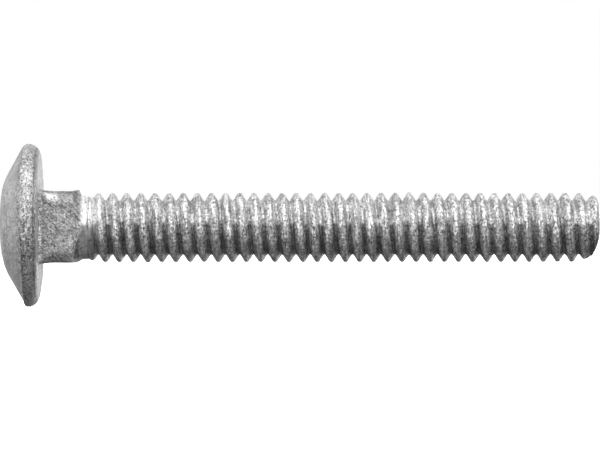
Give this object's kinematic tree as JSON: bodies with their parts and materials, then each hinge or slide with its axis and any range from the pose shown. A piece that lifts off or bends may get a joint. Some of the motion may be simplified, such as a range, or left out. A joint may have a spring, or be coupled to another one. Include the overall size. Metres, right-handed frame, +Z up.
{
  "type": "carriage bolt",
  "caption": "Galvanised steel carriage bolt with a low domed round head, a square anti-turn neck and a long coarse-threaded shank.",
  "frame": {"origin": "middle of the bolt's footprint on the floor it lies on, at floor height", "axes": "+X from the head towards the threaded end, +Y across the bolt, +Z up; the bolt lies on the rim of its head and the end of its thread, so its axis dips 4.60 degrees towards the thread"},
  "size_m": [0.054, 0.0148, 0.0147],
  "materials": {
    "galvanised_steel": "hot-dip galvanised, satin and finely mottled"
  },
  "bodies": {
    "root": {"carriage_bolt": "galvanised_steel"}
  },
  "joints": []
}
